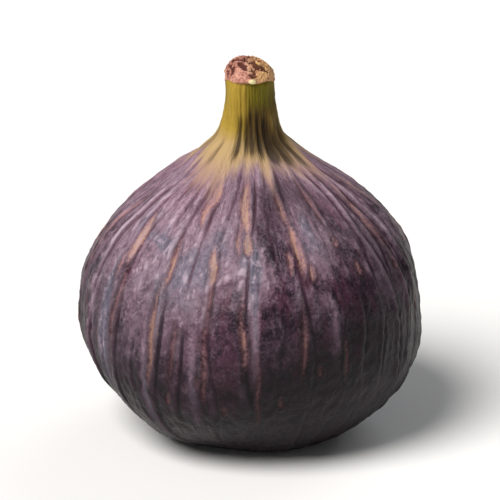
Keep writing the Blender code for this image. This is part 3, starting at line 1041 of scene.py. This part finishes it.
# %% Cork finish
def knob_finish():
    f = Finish("stalk_cork_finish", Specular_IOR_Level=0.25)
    place = f.place()
    pits, bead, gilt = (f.attribute(title) for title in ("pits", "bead", "gilt"))
    cloud, grain = f.noise(place, per(1.3), 3.0, 0.6), f.noise(place, per(0.32), 3.0, 0.6)
    pink, rosy, tan = srgb(180, 124, 108), srgb(214, 166, 146), srgb(196, 150, 108)
    gold, pit, brown, cream = srgb(222, 180, 112), srgb(74, 30, 24), srgb(108, 58, 42), srgb(226, 212, 158)
    base = f.mix((gilt + 1.2 * (cloud - 0.5)).ramp(0.2, 0.95), pink, tan)
    # Rosy spots on the left and golden ones on the right: partly grains of the cork, partly painted
    # highlights.
    spots = (grain + 0.8 * (cloud - 0.5)).ramp(0.5, 0.66)
    base = f.mix(spots * 0.8, base, f.mix(gilt.ramp(0.3, 0.9), rosy, gold))
    base = f.mix((grain + 0.7 * (cloud - 0.5)).ramp(0.47, 0.33) * 0.75, base, brown)
    # The pits are darkened to red-brown: partly their own colour, partly painted shade.
    base = f.mix((pits + 0.9 * (grain - 0.5)).ramp(0.2, 0.75) * 0.92, base, pit)
    base = f.mix((bead + 0.8 * (grain - 0.5)).ramp(0.3, 0.6), base, cream)
    f.feed("Base Color", base)
    f.feed("Roughness", 0.84 - 0.35 * bead)
    warts = f.cells(place, per(0.5))
    f.feed("Normal", f.bump(0.8 * grain - 0.5 * warts + 0.6 * cloud, 0.0003))
    return f


knob_grid, knob_pits, knob_bead, knob_gilt = knob()
stalk = ring_mesh("corky_stalk_end", knob_grid, knob_finish(), {
    "pits": knob_pits, "bead": knob_bead, "gilt": knob_gilt,
})  # fmt: skip
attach(stalk, "root")
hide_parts("stalk_end")

# %% [markdown]
# ## The eye
#
# Underneath, small scale leaves close the fruit's opening in two whorls of three. Each is a leaf
# wrapped round the fig's axis: widest at the wall of the hollow and pointed at the middle, cupped
# along its length, with a raised rib. Front and back are two sheets of one closed ring mesh.


# %% Eye scales
LEAF_ROWS, LEAF_COLUMNS = 22, 40
LEAF_WALL, LEAF_TIP = 2.98, 0.42  # mm from the fig's axis to the leaf's two ends


def scale_leaf(number):
    """The CAD solid's box gives the leaf's height, and its number gives its whorl and its turn.
    A row is one ring over the underside and back over the upper side, from the wall to the tip."""
    low, high = (np.array(corner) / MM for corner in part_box(f"eye_scale_{number}"))
    whorl, place = divmod(number - 1, 3)
    middle = math.radians(20 + 60 * whorl + 120 * place)
    share = np.linspace(0.0, 1.0, LEAF_ROWS)[:, None]
    ring = ring_turns(LEAF_COLUMNS)
    side, face = np.cos(ring), np.sin(ring)
    half = np.radians(8 + 50 * np.cos(0.5 * math.pi * share) ** 0.8)
    angle = middle + side * half
    distance = LEAF_WALL - 0.15 * whorl + (LEAF_TIP - LEAF_WALL) * share
    thick = (0.06 + 0.17 * (1 - share) ** 0.5) * (1 - 0.55 * side**2)
    bow = 0.3 * np.sin(math.pi * share) + 0.1 * share
    rib = 0.07 * bell(side, 0.16) * (face < 0) * (1 - share)
    veinlets = 0.018 * np.cos(9 * side) * (face < 0)
    z = (low[2] + high[2]) / 2 + 0.1 - bow + thick * face - rib + veinlets
    x, y = distance * np.sin(angle) - shift[0], -distance * np.cos(angle) - shift[1]
    return np.stack([x, y, z], axis=-1), share, side


def scale_finish():
    f = Finish("eye_scale_finish", Specular_IOR_Level=0.3)
    place = f.place()
    share, side = f.attribute("share"), f.attribute("side")
    grain, cloud = f.noise(place, per(0.25), 3.0, 0.6), f.noise(place, per(1.1), 3.0)
    root, body, tip = srgb(138, 116, 58), srgb(112, 76, 46), srgb(58, 34, 28)
    base = f.mix((share + 0.7 * (cloud - 0.5) + 0.4 * (grain - 0.5)).ramp(0.05, 0.4), root, body)
    base = f.mix((share + 0.7 * (grain - 0.5)).ramp(0.55, 0.95), base, tip)
    base = f.mix((side.size() + 0.5 * (grain - 0.5)).ramp(0.78, 1.0) * 0.7, base, tip)
    f.feed("Base Color", base)
    f.feed("Roughness", 0.62 + 0.3 * (grain - 0.5))
    f.feed("Normal", f.bump(grain + 0.5 * cloud, 0.00012))
    return f


LEAVES = 6
leaf_finish = scale_finish()
for number in range(1, LEAVES + 1):
    points, share, side = scale_leaf(number)
    leaf = ring_mesh(f"eye_leaf_{number}", points, leaf_finish, {"share": share, "side": side})
    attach(leaf, "root")
    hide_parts(f"eye_scale_{number}")
